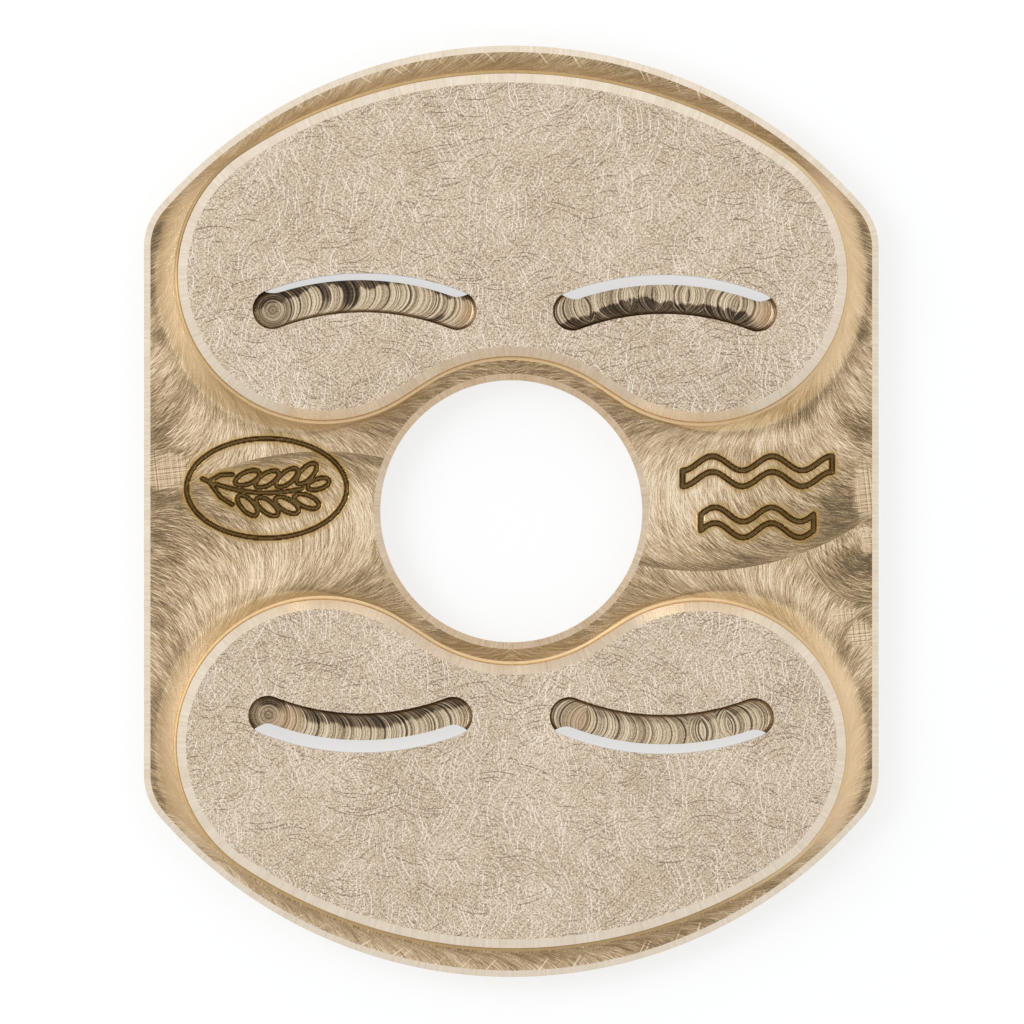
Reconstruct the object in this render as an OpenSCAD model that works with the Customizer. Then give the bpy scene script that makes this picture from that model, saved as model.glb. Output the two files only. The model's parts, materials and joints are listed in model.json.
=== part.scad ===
// Pasta extrusion die: a round plate with two flats, a hole in the middle and
// two raised kidney-shaped pads, each cut by two curved feed grooves. A narrow
// slit opens from the back into every groove, along the groove's outer rim.
// The back face lies on z = 0, and the hole's axis is the z axis.

/* [Plate] */
// Radius of the round plate
plate_r = 35.5; // [34:0.5:40]
// Width of the plate across its two flats
flat_w = 56; // [52:0.5:60]
// Radius that blends each flat into the round edge
corner_r = 4.8; // [3.6:0.2:6]
// Thickness of the plate around the pads
flange_t = 3; // [2.4:0.1:6]
// Chamfer along the plate's outer edges, front and back
edge_chamfer = 0.5; // [0.2:0.1:0.8]

/* [Hole] */
// Radius of the hole in the middle
hub_r = 10; // [8:0.25:11]
// Chamfer at both mouths of the hole
hub_chamfer = 0.5; // [0.2:0.1:0.8]

/* [Pads] */
// Height of the two pads above the plate
pad_h = 2.4; // [1.4:0.1:4]
// Strip of plate left between a pad's peak and the round edge
rim_gap = 2.1; // [1.4:0.1:3]
// Strip of plate left between a pad's rounded end and the flat beside it
side_gap = 2.4; // [1.4:0.1:3]
// Strip of plate left between the hole and a pad's hollow side
hub_gap = 1.8; // [1.4:0.1:3]
// Radius of a pad's rounded ends
lobe_r = 10.95; // [9.5:0.05:11.5]
// Gap between the circle of a rounded end and the circle of the hollow side
waist_gap = 0.4; // [0.2:0.05:0.8]
// Chamfer along a pad's top edge
pad_chamfer = 0.7; // [0.3:0.1:1]
// Fillet where a pad's wall meets the plate
foot_r = 0.3; // [0.2:0.05:0.5]

/* [Grooves] */
// Width of a feed groove
groove_w = 3; // [2.4:0.1:4]
// Length of a feed groove from end to end
groove_l = 17.1; // [14:0.1:18]
// Radius of the arc that a groove's centre line follows
groove_arc_r = 20; // [16:0.5:30]
// Web of metal between the two grooves of a pad
web_w = 5.9; // [4:0.1:7]
// Distance from a pad's hollow side to the middle of its grooves
groove_wall = 4.9; // [4:0.1:7]
// Radius that the cutter leaves along the edge of a groove's floor
nose_r = 0.45; // [0.2:0.05:0.8]

/* [Slits] */
// Thickness of metal that a slit passes through under its groove
floor_t = 2; // [1.2:0.1:2.6]
// Width of a slit
slit_w = 0.8; // [0.5:0.05:1.2]
// How far a slit lies outside the rim of its groove
slit_reach = 0.3; // [0.1:0.05:0.4]
// How far a slit rises past the rounded edge of its groove's floor
slit_rise = 0.15; // [0.05:0.05:0.3]

/* [Hidden] */
$fn = 96;
// Overrun of a cutter past the face that it opens
overrun = 1;
// Step left where two runs of an outline meet, far too small to see, so that
// their surfaces never graze each other
seam = 0.005;

// The plate's outline: each corner arc touches the round edge and a flat
corner_x = flat_w / 2 - corner_r;
corner_y = sqrt(pow(plate_r - corner_r, 2) - pow(corner_x, 2));
corner_angle = atan2(corner_y, corner_x);
plate_band = corner_r / 2;

// A pad's outline: two lobes, joined outside by one large arc that touches
// both, and inside by a hollow arc about the hole with a short straight run
// to each lobe
hollow_r = hub_r + hub_gap;
pad_peak = plate_r - rim_gap;
lobe_x = flat_w / 2 - side_gap - lobe_r;
lobe_far = hollow_r + lobe_r + waist_gap;
lobe_y = sqrt(pow(lobe_far, 2) - pow(lobe_x, 2));
lobe_rise = pad_peak - lobe_y;
back_r = (pow(lobe_x, 2) + pow(lobe_rise, 2) - pow(lobe_r, 2)) / (2 * (lobe_rise - lobe_r));
back_y = pad_peak - back_r;
back_angle = atan2(lobe_y - back_y, lobe_x);
waist_angle = atan2(lobe_y, lobe_x) + acos((hollow_r + lobe_r) / lobe_far);
waist_l = sqrt(pow(lobe_far, 2) - pow(hollow_r + lobe_r, 2));
pad_band = lobe_r / 3;
total_t = flange_t + pad_h;

// Where the grooves and slits lie
groove_x = (web_w + groove_l) / 2;
groove_y = hollow_r + groove_wall;
groove_half = asin((groove_l - groove_w) / (2 * groove_arc_r));
slit_arc_r = groove_arc_r + groove_w / 2 + slit_reach - slit_w / 2;
slit_top = floor_t + nose_r + slit_rise;

brass = "#c8ab80";
brass_bright = "#dcc6a2";
brass_dark = "#8a6f4a";

// Edge section of the plate, w wide, with the outline at x = w
module plate_section(w) {
    polygon([
        [0, 0], [w - edge_chamfer, 0], [w, edge_chamfer],
        [w, flange_t - edge_chamfer], [w - edge_chamfer, flange_t], [0, flange_t]
    ]);
}

// Edge section of a pad, w wide, with the outline at x = w and the fillet of
// its foot beyond that. It stands a little too high, to be milled flush
module pad_section(w) {
    low = flange_t / 2;
    high = total_t + foot_r;
    polygon([
        [0, low], [w, low], [w, total_t - pad_chamfer], [w - pad_chamfer - foot_r, high],
        [0, high]
    ]);
    difference() {
        translate([w, low]) square([foot_r, flange_t + foot_r - low]);
        translate([w + foot_r - seam, flange_t + foot_r - seam]) circle(r = foot_r);
    }
}

// Carries an edge section of width w round an arc, with the material inside
module round_edge(r, w, from, to) {
    rotate_extrude(angle = to - from, start = from) translate([r - w, 0]) children();
}

// Carries an edge section of width w round an arc, with the material outside
module hollow_edge(r, w, from, to) {
    rotate_extrude(angle = to - from, start = from)
        translate([r + w, 0]) mirror([1, 0]) children();
}

// Carries an edge section of width w along a straight run. It starts at the
// outline's end and heads off with the material on its left
module straight_edge(length, w, heading) {
    rotate([0, 0, heading]) rotate([90, 0, 90]) linear_extrude(length)
        translate([w, 0]) mirror([1, 0]) children();
}

// The plate, without its hole
module flange() {
    inset = plate_band / 2;
    end_r = corner_r - seam;
    color(brass) {
        linear_extrude(flange_t) {
            intersection() {
                circle(r = plate_r - inset);
                square([2 * corner_x, 2 * plate_r], center = true);
            }
            square([flat_w - 2 * inset, 2 * corner_y], center = true);
        }
        for (turn = [0, 1]) rotate([0, 0, turn * 180]) {
            round_edge(plate_r, plate_band, corner_angle, 180 - corner_angle)
                plate_section(plate_band);
            translate([flat_w / 2, -corner_y, 0])
                straight_edge(2 * corner_y, plate_band, 90) plate_section(plate_band);
            for (side = [-1, 1]) translate([corner_x, side * corner_y, 0])
                rotate([0, 0, side * 270]) rotate_extrude() plate_section(end_r);
        }
    }
}

// Flat middle of a pad, kept inside the bands that its edge section fills
module pad_core() {
    inset = pad_band / 2;
    translate([0, 0, flange_t / 2]) linear_extrude(pad_h + flange_t / 2 + foot_r) difference() {
        intersection() {
            translate([0, back_y]) circle(r = back_r - inset);
            polygon([
                [lobe_x, lobe_y], [lobe_x, plate_r], [-lobe_x, plate_r], [-lobe_x, lobe_y],
                [0, 0]
            ]);
        }
        circle(r = hollow_r + inset);
    }
}

// The upper pad before its top is milled flush
module pad_blank() {
    color(brass_bright) {
        pad_core();
        translate([0, back_y, 0])
            round_edge(back_r, pad_band, back_angle, 180 - back_angle) pad_section(pad_band);
        hollow_edge(hollow_r - seam, pad_band, waist_angle, 180 - waist_angle)
            pad_section(pad_band);
        for (side = [0, 1]) mirror([side, 0, 0]) {
            translate([lobe_x, lobe_y, 0]) rotate([0, 0, 180]) rotate_extrude()
                pad_section(lobe_r - seam);
            rotate([0, 0, waist_angle]) translate([hollow_r, pad_band, 0])
                straight_edge(pad_band + waist_l, pad_band, -90) pad_section(pad_band);
        }
    }
}

// The upper pad, without its grooves
module pad() {
    difference() {
        pad_blank();
        color(brass_bright) translate([-plate_r, 0, total_t])
            cube([2 * plate_r, plate_r, overrun]);
    }
}

// Half section of a cutter, x outwards from the cutter's own middle, with a
// corner radius along its lower edge
module cutter_section(half_w, corner, low, high) {
    translate([0, low]) square([half_w - corner, high - low]);
    translate([0, low + corner]) square([half_w, high - low - corner]);
    if (corner > 0) translate([half_w - corner, low + corner]) circle(r = corner);
}

// A cutter that follows an arc and ends in full turns of its own section
module arc_cutter(arc_r, half_angle, half_w, corner, low, high) {
    rotate_extrude(angle = 2 * half_angle, start = 90 - half_angle)
        translate([arc_r, 0]) for (side = [0, 1]) mirror([side, 0])
            cutter_section(half_w, corner, low, high);
    for (side = [-1, 1])
        translate([side * arc_r * sin(half_angle), arc_r * cos(half_angle), 0])
            rotate_extrude() cutter_section(half_w - seam, corner, low, high);
}

// Feed groove with a rounded edge round its floor
module groove_cutter() {
    color(brass_dark)
        arc_cutter(groove_arc_r, groove_half, groove_w / 2, nose_r, floor_t, total_t + overrun);
}

// Slit that opens from the back into the outer side of a groove
module slit_cutter() {
    color(brass_dark)
        arc_cutter(slit_arc_r, groove_half, slit_w / 2, 0, -overrun, slit_top);
}

// The hole in the middle with a chamfer at each mouth
module hub_cutter() {
    mouth_r = hub_r + hub_chamfer;
    color(brass_dark) {
        translate([0, 0, -overrun]) cylinder(r = hub_r, h = flange_t + 2 * overrun);
        translate([0, 0, flange_t - hub_chamfer])
            cylinder(r1 = hub_r, r2 = mouth_r, h = hub_chamfer);
        cylinder(r1 = mouth_r, r2 = hub_r, h = hub_chamfer);
    }
}

module die_plate() {
    difference() {
        union() {
            flange();
            for (side = [0, 1]) mirror([0, side, 0]) pad();
        }
        hub_cutter();
        for (side_y = [0, 1], side_x = [0, 1]) mirror([0, side_y, 0]) mirror([side_x, 0, 0])
            translate([groove_x, groove_y - groove_arc_r, 0]) {
                groove_cutter();
                slit_cutter();
            }
    }
}

die_plate();
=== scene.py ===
import json
import math
from itertools import chain

import bpy
import numpy as np
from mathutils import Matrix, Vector
from mathutils.geometry import delaunay_2d_cdt

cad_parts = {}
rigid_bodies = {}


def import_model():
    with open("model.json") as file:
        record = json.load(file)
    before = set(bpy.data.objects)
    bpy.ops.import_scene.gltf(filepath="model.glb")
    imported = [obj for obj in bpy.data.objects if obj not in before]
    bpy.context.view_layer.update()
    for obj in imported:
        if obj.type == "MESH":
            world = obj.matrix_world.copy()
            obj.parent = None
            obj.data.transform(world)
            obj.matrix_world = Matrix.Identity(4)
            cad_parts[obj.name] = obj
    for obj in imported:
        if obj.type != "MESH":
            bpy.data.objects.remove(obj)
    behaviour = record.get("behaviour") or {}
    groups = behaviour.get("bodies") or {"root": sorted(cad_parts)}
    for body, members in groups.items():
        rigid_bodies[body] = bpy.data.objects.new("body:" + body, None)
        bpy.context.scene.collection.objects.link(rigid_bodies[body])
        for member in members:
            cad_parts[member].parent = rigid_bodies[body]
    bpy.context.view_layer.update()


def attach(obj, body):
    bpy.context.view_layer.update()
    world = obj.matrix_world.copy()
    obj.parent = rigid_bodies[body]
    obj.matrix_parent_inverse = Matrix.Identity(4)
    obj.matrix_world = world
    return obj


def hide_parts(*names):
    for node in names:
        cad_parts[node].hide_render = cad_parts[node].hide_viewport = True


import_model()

mm = 0.001          # the shapes below are worked out in millimetres

# Camera, straight above the plate
cameraSetup = {
    "height": 1.2,                    # above the table
    "aside": (0.000055, -0.000055),   # puts the plate's middle where the photograph has it
    "lens": 552.2,
    "sensor": 36.0,
}
cameraData = bpy.data.cameras.new("camera")
cameraData.lens = cameraSetup["lens"]
cameraData.sensor_width = cameraSetup["sensor"]
cameraData.clip_start = 0.01
cameraData.clip_end = 10
camera = bpy.data.objects.new("camera", cameraData)
camera.location = (*cameraSetup["aside"], cameraSetup["height"])
bpy.context.scene.collection.objects.link(camera)
bpy.context.scene.camera = camera
bpy.context.scene.view_settings.view_transform = "Standard"


# Shader maths: a Signal is one socket, and sums on it add nodes to its tree
class Signal:
    def __init__(self, tree, socket=None):
        self.tree = tree
        self.socket = socket

    def node(self, kind, settings=None, values=None, out=0):
        # one node of any kind: its settings first, then its sockets' values or links
        made = self.tree.nodes.new("ShaderNode" + kind)
        for name, value in (settings or {}).items():
            if name == "stops":
                ramp = made.color_ramp
                while len(ramp.elements) < len(value):
                    ramp.elements.new(0.5)
                for element, (position, colour) in zip(ramp.elements, value):
                    element.position = position
                    element.color = colour
            else:
                setattr(made, name, value)
        for key, value in (values or {}).items():
            if isinstance(value, Signal):
                self.tree.links.new(value.socket, made.inputs[key])
            else:
                made.inputs[key].default_value = value
        return Signal(self.tree, made.outputs[out])

    def calc(self, operation, *terms):
        return self.node("Math", {"operation": operation}, dict(enumerate(terms)))

    def __add__(self, other):
        return self.calc("ADD", self, other)

    def __radd__(self, other):
        return self.calc("ADD", other, self)

    def __sub__(self, other):
        return self.calc("SUBTRACT", self, other)

    def __rsub__(self, other):
        return self.calc("SUBTRACT", other, self)

    def __mul__(self, other):
        return self.calc("MULTIPLY", self, other)

    def __rmul__(self, other):
        return self.calc("MULTIPLY", other, self)

    def __truediv__(self, other):
        return self.calc("DIVIDE", self, other)

    def __rtruediv__(self, other):
        return self.calc("DIVIDE", other, self)

    def __neg__(self):
        return self.calc("MULTIPLY", self, -1.0)

    def __pow__(self, other):
        return self.calc("POWER", self, other)

    def __abs__(self):
        return self.calc("ABSOLUTE", self)

    def __gt__(self, other):
        return self.calc("GREATER_THAN", self, other)

    def __lt__(self, other):
        return self.calc("LESS_THAN", self, other)

    def above(self, low, high):
        # 0 below low, 1 above high, smooth between them
        return self.node("MapRange", {"interpolation_type": "SMOOTHSTEP"},
                         {0: self, 1: low, 2: high, 3: 0.0, 4: 1.0})

    def within(self, low, high):
        # cut off at low and high
        return self.calc("MINIMUM", self.calc("MAXIMUM", self, low), high)

    def mix(self, first, second):
        # two colours, or two links of colours, mixed by this signal
        return self.node("Mix", {"data_type": "RGBA"}, {0: self, 6: first, 7: second}, out=2)

    def pick(self, first, second):
        # numbers: first where this signal is 0, second where it is 1
        return first + (second - first) * self

    def streak(self, detail=1.0, roughness=0.5):
        # smooth noise along one number
        return self.node("TexNoise", {"noise_dimensions": "1D"},
                         {"W": self, "Scale": 1.0, "Detail": detail, "Roughness": roughness})


def tone(red, green, blue):
    # a colour seen on screen, 0 to 255 each, as the shader's own linear numbers
    shares = np.array([red, green, blue]) / 255
    linear = np.where(shares <= 0.04045, shares / 12.92, ((shares + 0.055) / 1.055) ** 2.4)
    return (*linear.tolist(), 1.0)


def newMaterial(name):
    # an empty node tree with one Principled shader on its output
    material = bpy.data.materials.new(name)
    material.use_nodes = True
    tree = material.node_tree
    tree.nodes.clear()
    shader = tree.nodes.new("ShaderNodeBsdfPrincipled")
    output = tree.nodes.new("ShaderNodeOutputMaterial")
    tree.links.new(shader.outputs[0], output.inputs["Surface"])
    return material, Signal(tree), shader


def plug(signal, shader, name):
    signal.tree.links.new(signal.socket, shader.inputs[name])


def millimetres(start):
    # Object coordinates in millimetres, and x, y, z one by one
    here = start.node("TexCoord", out=3)
    place = start.node("VectorMath", {"operation": "SCALE"}, {0: here, "Scale": 1000.0})
    parts = place.node("SeparateXYZ", values={0: place})
    sockets = parts.socket.node.outputs
    return place, *(Signal(start.tree, sockets[i]) for i in range(3))


def attribute(start, name):
    # the three numbers that the mesh carries under that name
    vector = start.node("Attribute", {"attribute_name": name}, out=1)
    parts = vector.node("SeparateXYZ", values={0: vector})
    sockets = parts.socket.node.outputs
    return [Signal(start.tree, sockets[i]) for i in range(3)]


def cloud(place, scale, detail=2.0, roughness=0.5):
    # smooth noise in space
    return place.node("TexNoise", {"noise_dimensions": "3D"},
                      {"Vector": place, "Scale": scale, "Detail": detail, "Roughness": roughness})


def bumped(height, shader, distance, strength):
    normal = height.node("Bump", values={"Height": height, "Distance": distance,
                                         "Strength": strength})
    plug(normal, shader, "Normal")


# Outlines. Each is a closed loop of points with the normal at every point
def arcRun(middle, radius, start, end, step, facing=1):
    # middle + radius * (cos a, sin a), a from start to end; facing -1 turns the normals round
    count = max(2, math.ceil(abs(end - start) * radius / step))
    angle = np.linspace(start, end, count, endpoint=False)
    normal = np.stack([np.cos(angle), np.sin(angle)], 1)
    return np.array(middle) + radius * normal, facing * normal


def lineRun(first, last, normal, step):
    # first + t * (last - first), t from 0 up to 1
    first, last = np.array(first), np.array(last)
    count = max(2, math.ceil(np.linalg.norm(last - first) / step))
    share = np.linspace(0, 1, count, endpoint=False)[:, None]
    return first + share * (last - first), np.tile(normal, (count, 1))


def turning(degrees):
    # points @ this turn anticlockwise about the origin
    lean = math.radians(degrees)
    return np.array([[math.cos(lean), math.sin(lean)], [-math.sin(lean), math.cos(lean)]])


def joinRuns(runs):
    return tuple(np.concatenate(part) for part in zip(*runs))


def arcSlot(radius, first, last, half, step):
    # a band of half width half round an arc about the origin, with round ends,
    # anticlockwise; angles first < last are taken from the x axis
    def end(angle):
        return radius * np.array([math.cos(angle), math.sin(angle)])
    runs = [
        arcRun((0, 0), radius + half, first, last, step),
        arcRun(end(last), half, last, last + math.pi, step),
        arcRun((0, 0), radius - half, last, first, step, facing=-1),
        arcRun(end(first), half, first + math.pi, first + 2 * math.pi, step),
    ]
    return joinRuns(runs)


def slotDepth(points, radius, first, last, half):
    # how far a point lies inside such a band, negative outside it
    angle = np.arctan2(points[:, 1], points[:, 0])
    nearest = np.clip(angle, first, last)
    onLine = radius * np.stack([np.cos(nearest), np.sin(nearest)], 1)
    return half - np.linalg.norm(points - onLine, axis=1)


plate = {
    "radius": 35.5, "flat": 28.0, "corner": 4.8,   # round edge, flats, corner radius
    "thick": 3.0, "chamfer": 0.5,
    "hole": 10.0, "holeChamfer": 0.5,
    "step": 0.35,                                  # distance between points on its outlines
}
pads = {
    "height": 2.4, "chamfer": 0.7, "foot": 0.3,    # foot is the fillet where a pad meets the plate
    "rimGap": 2.13, "sideGap": 2.54, "hubGap": 1.865,
    "lobe": 11.05, "waistGap": 0.13,
    "turn": -0.29, "shift": {1: (0.0, -0.05), -1: (0.1, 0.12)},   # as they lie on the plate
    "step": 0.3, "footRows": 6,
}
hollow = plate["hole"] + pads["hubGap"]
peak = plate["radius"] - pads["rimGap"]
lobeX = plate["flat"] - pads["sideGap"] - pads["lobe"]
lobeFar = hollow + pads["lobe"] + pads["waistGap"]
lobeY = math.sqrt(lobeFar ** 2 - lobeX ** 2)
rise = peak - lobeY
backR = (lobeX ** 2 + rise ** 2 - pads["lobe"] ** 2) / (2 * (rise - pads["lobe"]))
backY = peak - backR
backTurn = math.atan2(lobeY - backY, lobeX)
waistTurn = math.atan2(lobeY, lobeX) + math.acos((hollow + pads["lobe"]) / lobeFar)
waistLength = math.sqrt(lobeFar ** 2 - (hollow + pads["lobe"]) ** 2)
faceZ = plate["thick"]
topZ = faceZ + pads["height"]


def plateOutline():
    # flat, corner arc, round edge and corner arc, then the same turned half round
    c, step = plate["corner"], plate["step"]
    cx = plate["flat"] - c
    cy = math.sqrt((plate["radius"] - c) ** 2 - cx ** 2)
    turn = math.atan2(cy, cx)
    points, normals = joinRuns([
        lineRun((plate["flat"], -cy), (plate["flat"], cy), (1.0, 0.0), step),
        arcRun((cx, cy), c, 0, turn, step),
        arcRun((0, 0), plate["radius"], turn, math.pi - turn, step),
        arcRun((-cx, cy), c, math.pi - turn, math.pi, step),
    ])
    return np.concatenate([points, -points]), np.concatenate([normals, -normals])


def padOutline(side):
    # lobe, back arc, lobe, straight, hollow arc, straight; side -1 is the lower pad
    r, step = pads["lobe"], pads["step"]
    inward = np.array([math.cos(waistTurn), math.sin(waistTurn)])
    mirrored = inward * (-1, 1)
    points, normals = joinRuns([
        arcRun((lobeX, lobeY), r, waistTurn - math.pi, backTurn, step),
        arcRun((0, backY), backR, backTurn, math.pi - backTurn, step),
        arcRun((-lobeX, lobeY), r, math.pi - backTurn, 2 * math.pi - waistTurn, step),
        lineRun((-lobeX, lobeY) - r * mirrored, hollow * mirrored, -mirrored, step),
        arcRun((0, 0), hollow, math.pi - waistTurn, waistTurn, step, facing=-1),
        lineRun(hollow * inward, (lobeX, lobeY) - r * inward, -inward, step),
    ])
    if side < 0:
        points, normals = points[::-1] * (1, -1), normals[::-1] * (1, -1)
    spin = turning(pads["turn"])
    return points @ spin + pads["shift"][side], normals @ spin


# Grooves and slits, as the four of them differ on the real plate.
# middle is the peak of the groove's centre line, inner the distance from that line to the
# slit's inner edge at its left and its right end, tips the slit's ends along the groove.
# dark names the side with the dark patina, band where it starts and shade its strength,
# bars is the strength of dark bars across the groove, coins how often the cutter arcs bulge
# the other way, plunge the strength of the rings at the left end, smooth a bare warm spot
grooveSetup = {
    "half": 1.5, "radius": 19.6, "spread": 7.03,   # half width, arc radius, half chord
    "floor": 2.0, "nose": 0.45, "slitTop": 2.6,
    "over": 0.25, "taper": 1.1,                    # slit beyond the rim, length of its tapered ends
    "step": 0.09, "grid": 0.085,
    "rings": (0.018, 0.06, 0.12, 0.2, 0.29),       # distances from the wall, down the floor's round edge
    "ridge": 0.018, "pitch": 0.3, "sweep": 1.42,   # cutter marks: height, spacing, arc radius
}
grooves = {
    "upperLeft": {"side": 1, "middle": (-11.25, 16.62), "turn": -0.3,
                  "inner": (1.12, 0.9), "tips": (-7.3, 7.5), "dark": 1, "band": 0.35, "shade": 0.85,
                  "bars": 0.85, "coins": 0.15, "plunge": 1.0, "smooth": 8.3, "seed": 3},
    "upperRight": {"side": 1, "middle": (11.6, 16.5), "turn": -0.3,
                   "inner": (0.76, 0.8), "tips": (-7.5, 7.85), "dark": -1, "band": 0.15, "shade": 1.05,
                   "bars": 0.5, "coins": 0.6, "plunge": 0.0, "smooth": 7.9, "seed": 11},
    "lowerLeft": {"side": -1, "middle": (-11.38, 16.87), "turn": 0.3,
                  "inner": (0.58, 0.6), "tips": (-7.85, 7.85), "dark": -1, "band": 0.2, "shade": 0.62,
                  "bars": 0.05, "coins": 0.0, "plunge": 1.0, "smooth": -5.6, "seed": 5},
    "lowerRight": {"side": -1, "middle": (11.55, 16.97), "turn": 0.3,
                   "inner": (0.74, 0.87), "tips": (-7.9, 7.7), "dark": -1, "band": 0.35, "shade": 0.4,
                   "bars": 0.15, "coins": 0.15, "plunge": 0.0, "smooth": -6.4, "seed": 8},
}


def slitEdge(along, setup):
    # how far the slit's inner edge lies from the centre line: level between the two
    # ends, then out past the groove's rim over the length of the taper
    left, right = setup["inner"]
    low, high = setup["tips"]
    level = left + (right - left) * np.clip((along - low) / (high - low), 0, 1)
    taper = grooveSetup["taper"]
    late = np.clip(np.maximum(low + taper - along, along - high + taper) / taper, 0, None)
    return level + (grooveSetup["half"] + 0.03 - level) * late ** 2.0


def slitLoop(setup, step):
    # the slit's outline, anticlockwise about the origin: outer arc to the left, inner edge back
    g = grooveSetup
    low, high = setup["tips"]
    outer = g["half"] + g["over"]
    there = np.arange(high, low, -step)
    back = np.arange(low, high, step)
    along = np.concatenate([there, back])
    across = np.concatenate([np.full(len(there), outer), slitEdge(back, setup)])
    angle = math.pi / 2 - along / g["radius"]
    return (g["radius"] + across)[:, None] * np.stack([np.cos(angle), np.sin(angle)], 1)


def crossLoops(first, second):
    # both loops again, with the points where their sides cross put into each:
    # first + t * d = second + u * e, solved for every pair of sides at once
    a, b = first, second
    d, e = np.roll(a, -1, 0) - a, np.roll(b, -1, 0) - b
    gap = b[None] - a[:, None]
    bottom = d[:, None, 0] * e[None, :, 1] - d[:, None, 1] * e[None, :, 0]
    bottom = np.where(np.abs(bottom) < 1e-12, 1e-12, bottom)
    t = (gap[..., 0] * e[None, :, 1] - gap[..., 1] * e[None, :, 0]) / bottom
    u = (gap[..., 0] * d[:, None, 1] - gap[..., 1] * d[:, None, 0]) / bottom
    i, j = np.nonzero((t > 0) & (t < 1) & (u > 0) & (u < 1))
    points = a[i] + t[i, j, None] * d[i]

    def put(loop, where, share):
        order = np.argsort(where + share)
        return np.insert(loop, where[order] + 1, points[order], axis=0)
    return put(a, i, t[i, j]), put(b, j, u[i, j])


def cutPlane(loops, inner=None):
    # Delaunay triangles of all the loops and inner points together, anticlockwise,
    # with a table that says which of the loops hold each triangle
    points = np.concatenate([*loops, inner] if inner is not None else loops)
    ends = np.cumsum([0, *map(len, loops)])
    sides = [list(range(a, b)) for a, b in zip(ends[:-1], ends[1:])]
    places, _, triangles, given, _, owners = delaunay_2d_cdt(
        [Vector(p) for p in points], [], sides, 0, 1e-7, True)
    triangles = np.array(triangles)
    sources = np.array([g[0] if g else -1 for g in given])
    corners = np.where(sources[:, None] >= 0, points[sources], np.array(places))
    inside = np.zeros((len(triangles), len(loops)), bool)
    counts = np.fromiter(map(len, owners), int, len(owners))
    inside[np.repeat(np.arange(len(owners)), counts),
           np.fromiter(chain.from_iterable(owners), int, counts.sum())] = True
    a, b, c = (corners[triangles[:, k]] for k in range(3))
    area = (b[:, 0] - a[:, 0]) * (c[:, 1] - a[:, 1]) - (b[:, 1] - a[:, 1]) * (c[:, 0] - a[:, 0])
    triangles[area < 0] = triangles[area < 0][:, ::-1]
    return corners, triangles, inside


# The body is gathered as triangles, and its parts are welded where they meet
class Shell:
    def __init__(self):
        self.points, self.marks, self.triangles, self.finish, self.flat = [], [], [], [], []
        self.count = 0

    def add(self, points, triangles, finish, flat=False, marks=None):
        self.points.append(points)
        self.marks.append(np.zeros((len(points), 4)) if marks is None else marks)
        self.triangles.append(triangles + self.count)
        self.finish.append(np.full(len(triangles), finish))
        self.flat.append(np.broadcast_to(flat, len(triangles)))
        self.count += len(points)

    def carry(self, loop, profile, finishes):
        # a closed strip: row k is loop + offset_k * normal at height z_k
        points, normals = loop
        rows = [np.column_stack([points + offset * normals, np.full(len(points), z)])
                for offset, z in profile]
        n = len(points)
        here = np.arange(n)
        after = (here + 1) % n
        marks = np.zeros((2 * n, 4))          # the way run along the loop, and how far it
        marks[:, 0] = np.tile(np.cumsum(np.linalg.norm(points - np.roll(points, 1, 0), axis=1)), 2)
        facing = -(points * normals).sum(1) / np.linalg.norm(points, axis=1)
        marks[:, 1] = np.tile(facing, 2)      # faces the plate's middle
        for k, finish in enumerate(finishes):
            quads = [here, after, after + n], [here, after + n, here + n]
            self.add(np.concatenate(rows[k:k + 2]),
                     np.concatenate([np.stack(q, 1) for q in quads]), finish, marks=marks)

    def fill(self, loops, z, finish, up=True):
        # a flat face inside the first loop and outside the others
        corners, triangles, inside = cutPlane(loops)
        triangles = triangles[inside[:, 0] & ~inside[:, 1:].any(1)]
        self.add(np.column_stack([corners, np.full(len(corners), z)]),
                 triangles if up else triangles[:, ::-1], finish, flat=True)

    def weld(self):
        # points that share a place to 1e-5 mm become one, and unused ones go
        points, marks = np.concatenate(self.points), np.concatenate(self.marks)
        triangles = np.concatenate(self.triangles)
        _, first, same = np.unique(np.round(points * 1e5).astype(np.int64), axis=0,
                                   return_index=True, return_inverse=True)
        triangles = same.reshape(-1)[triangles]
        sound = ((triangles[:, 0] != triangles[:, 1]) & (triangles[:, 1] != triangles[:, 2])
                 & (triangles[:, 2] != triangles[:, 0]))
        triangles = triangles[sound]
        used, compact = np.unique(triangles, return_inverse=True)
        return (points[first][used], marks[first][used], compact.reshape(triangles.shape),
                np.concatenate(self.finish)[sound], np.concatenate(self.flat)[sound])


def openSides(triangles):
    # how many sides don't meet exactly one other, turned the other way
    sides = np.concatenate([triangles[:, [0, 1]], triangles[:, [1, 2]], triangles[:, [2, 0]]])
    size = triangles.max() + 1
    ahead = sides[:, 0] * size + sides[:, 1]
    back = sides[:, 1] * size + sides[:, 0]
    return len(ahead) - len(np.intersect1d(ahead, back)) + len(ahead) - len(np.unique(ahead))


def waver(values, seed, size=64):
    # smooth random numbers from 0 to 1 along values, the same on each run
    table = np.random.default_rng(seed).random(size)
    low = np.floor(values).astype(int)
    share = values - low
    share = share * share * (3 - 2 * share)
    return table[low % size] * (1 - share) + table[(low + 1) % size] * share


finishNames = ["brushedTop", "milledFace", "cutEdge", "grooveCut", "padFoot", "turnedBack"]
brushedTop, milledFace, cutEdge, grooveCut, padFoot, turnedBack = range(6)
shell = Shell()


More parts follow.
